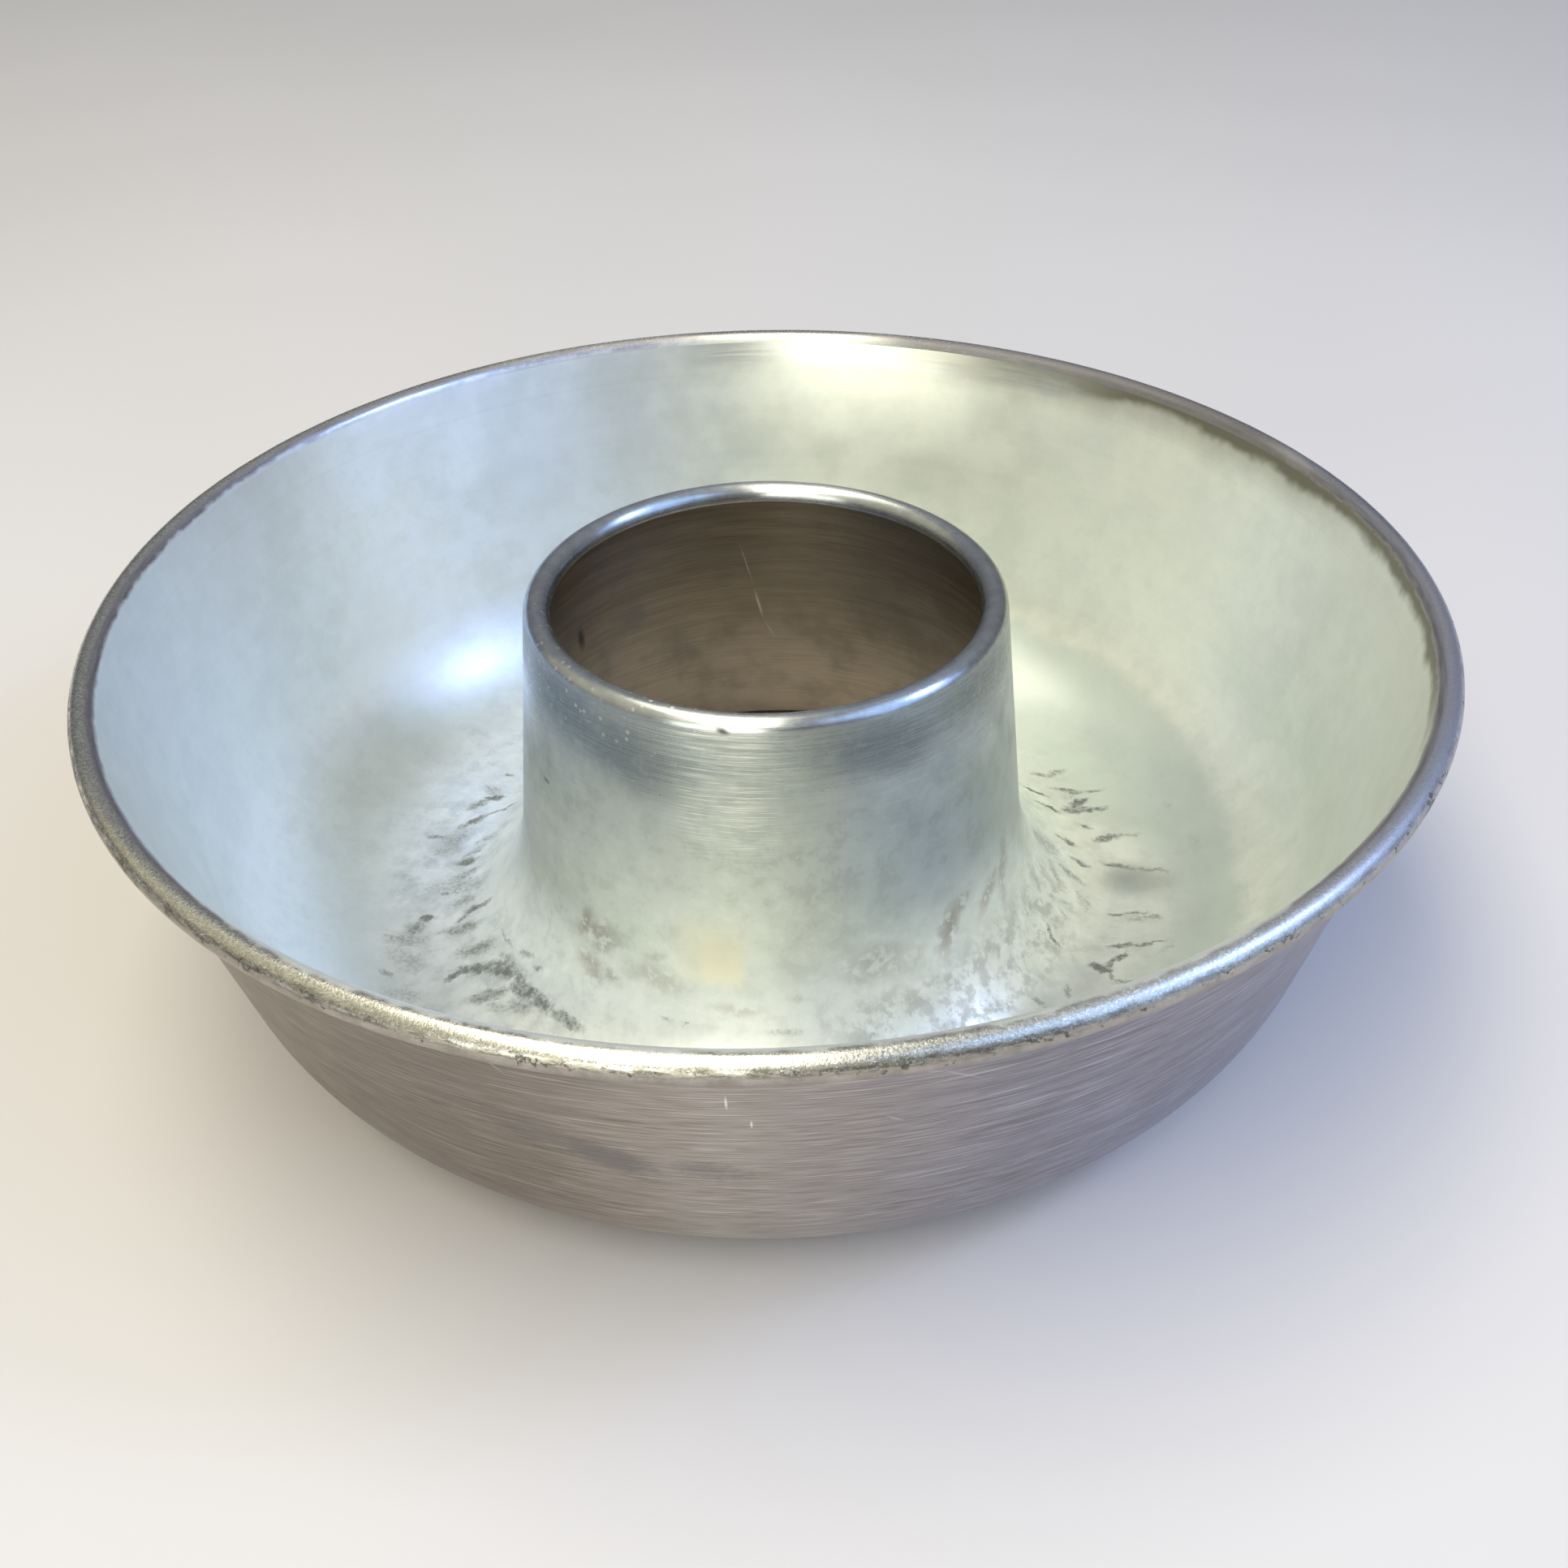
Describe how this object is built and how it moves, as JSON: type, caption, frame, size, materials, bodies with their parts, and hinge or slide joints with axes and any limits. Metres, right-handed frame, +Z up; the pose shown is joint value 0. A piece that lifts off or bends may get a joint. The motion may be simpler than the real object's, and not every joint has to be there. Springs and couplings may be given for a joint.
{
  "type": "ring cake pan",
  "caption": "Round spun aluminium ring cake pan: a sloped bowl with a wired, rolled rim and an open, tapered tube rising from its floor.",
  "frame": {"origin": "centre of the annular face that the pan stands on", "axes": "+Z up along the axis of the bowl and the tube; +X to the right and +Y away, as the picture sees the pan"},
  "size_m": [0.25, 0.25, 0.0735],
  "materials": {
    "pan_sheet": "dull satin with fine brush lines, polished on the rolled rim and the tube's lip",
    "rim_wire": "bright drawn wire, hidden inside the rolled rim"
  },
  "bodies": {
    "root": {"pan_shell": "pan_sheet", "rim_wire": "rim_wire"}
  },
  "joints": []
}
